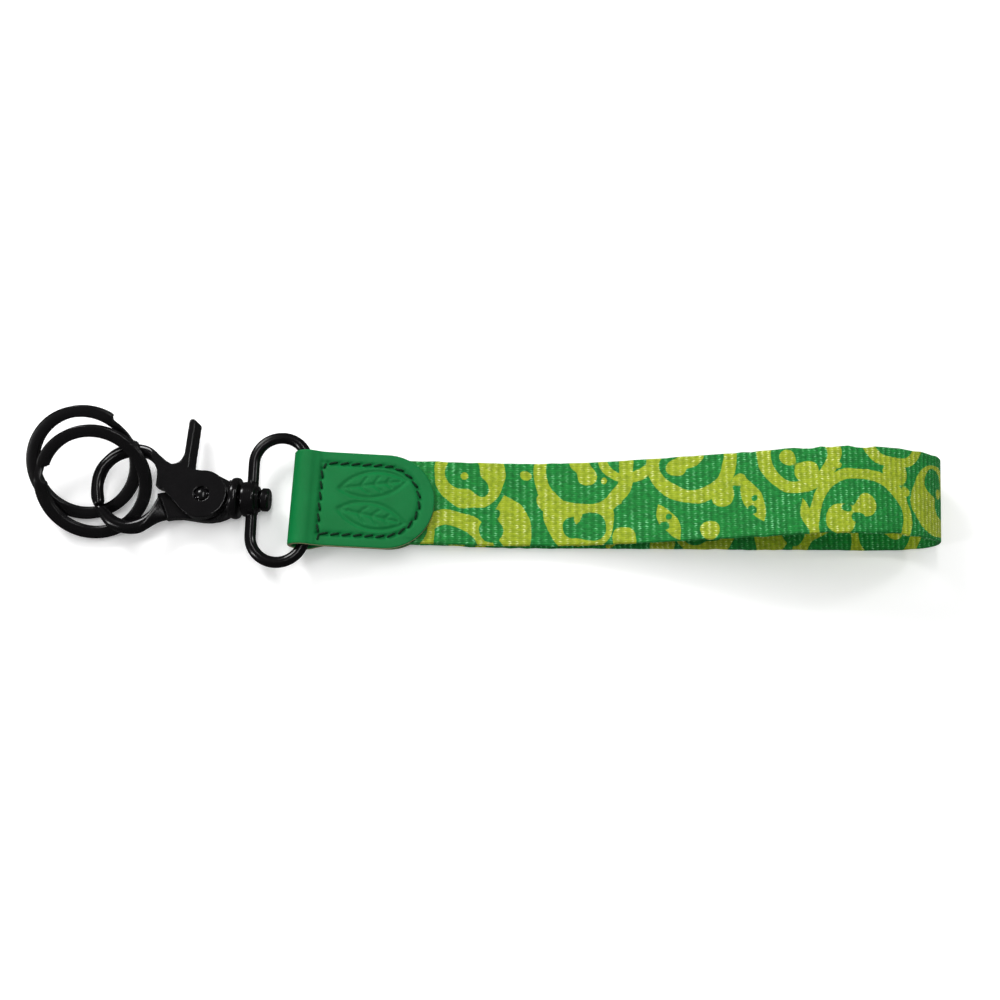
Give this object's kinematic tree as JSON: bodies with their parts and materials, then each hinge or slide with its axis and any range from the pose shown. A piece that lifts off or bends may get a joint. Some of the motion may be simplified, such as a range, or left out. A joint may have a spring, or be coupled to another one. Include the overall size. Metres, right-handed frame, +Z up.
{
  "type": "wrist lanyard",
  "caption": "Looped printed webbing wrist strap with a stitched leather tab, an oval ring, a swivel trigger hook and key rings.",
  "frame": {"origin": "on the floor under the centre of the bounding box, with the lanyard lying flat", "axes": "+X runs along the lanyard from the key rings to the hand loop, +Y across the webbing towards the thumb lever, +Z up"},
  "size_m": [0.2662, 0.0466, 0.0228],
  "materials": {
    "webbing": "woven polyester, printed on the outer face",
    "leather": "fine grain with a semi-gloss coating",
    "thread": "bonded polyester thread",
    "black_metal": "satin black plating on cast zinc",
    "ring_steel": "satin black plating on spring steel",
    "spring_steel": "drawn wire"
  },
  "bodies": {
    "strap": {"webbing_strap": "webbing", "leather_tab": "leather", "needle_thread": "thread", "bobbin_thread": "thread"},
    "eye": {"oval_ring": "black_metal"},
    "hook": {"hook_body": "black_metal", "swivel_pin": "black_metal", "pivot_rivet": "black_metal", "torsion_spring": "spring_steel"},
    "lever": {"trigger_lever": "black_metal"},
    "lower_ring": {"split_ring_lower": "ring_steel"},
    "upper_ring": {"split_ring_upper": "ring_steel"}
  },
  "joints": [
    {"name": "eye_swing", "type": "hinge", "parent": "strap", "child": "eye", "pos_m": [-0.05151, -0.00299, 0.0062], "axis": [0, 1, 0], "range_deg": [-110, 110]},
    {"name": "hook_swivel", "type": "hinge", "parent": "eye", "child": "hook", "pos_m": [-0.08146, -0.0022, 0.0062], "axis": [0.9986, -0.0523, 0], "continuous": true},
    {"name": "lever_trigger", "type": "hinge", "parent": "hook", "child": "lever", "pos_m": [-0.08146, -0.0022, 0.0062], "axis": [0.0037, 0.0697, 0.9976], "range_deg": [-28, 0], "stiffness_Nm_per_rad": 0.05, "springref_deg": 20.05},
    {"name": "lower_ring_swing", "type": "hinge", "parent": "hook", "child": "lower_ring", "pos_m": [-0.11636, 0.00358, 0.0062], "axis": [0.9998, 0.0215, 0], "range_deg": [0, 75]},
    {"name": "upper_ring_swing", "type": "hinge", "parent": "lower_ring", "child": "upper_ring", "pos_m": [-0.11306, -0.00805, 0.00383], "axis": [0.9956, 0.0939, 0], "range_deg": [0, 20]}
  ]
}
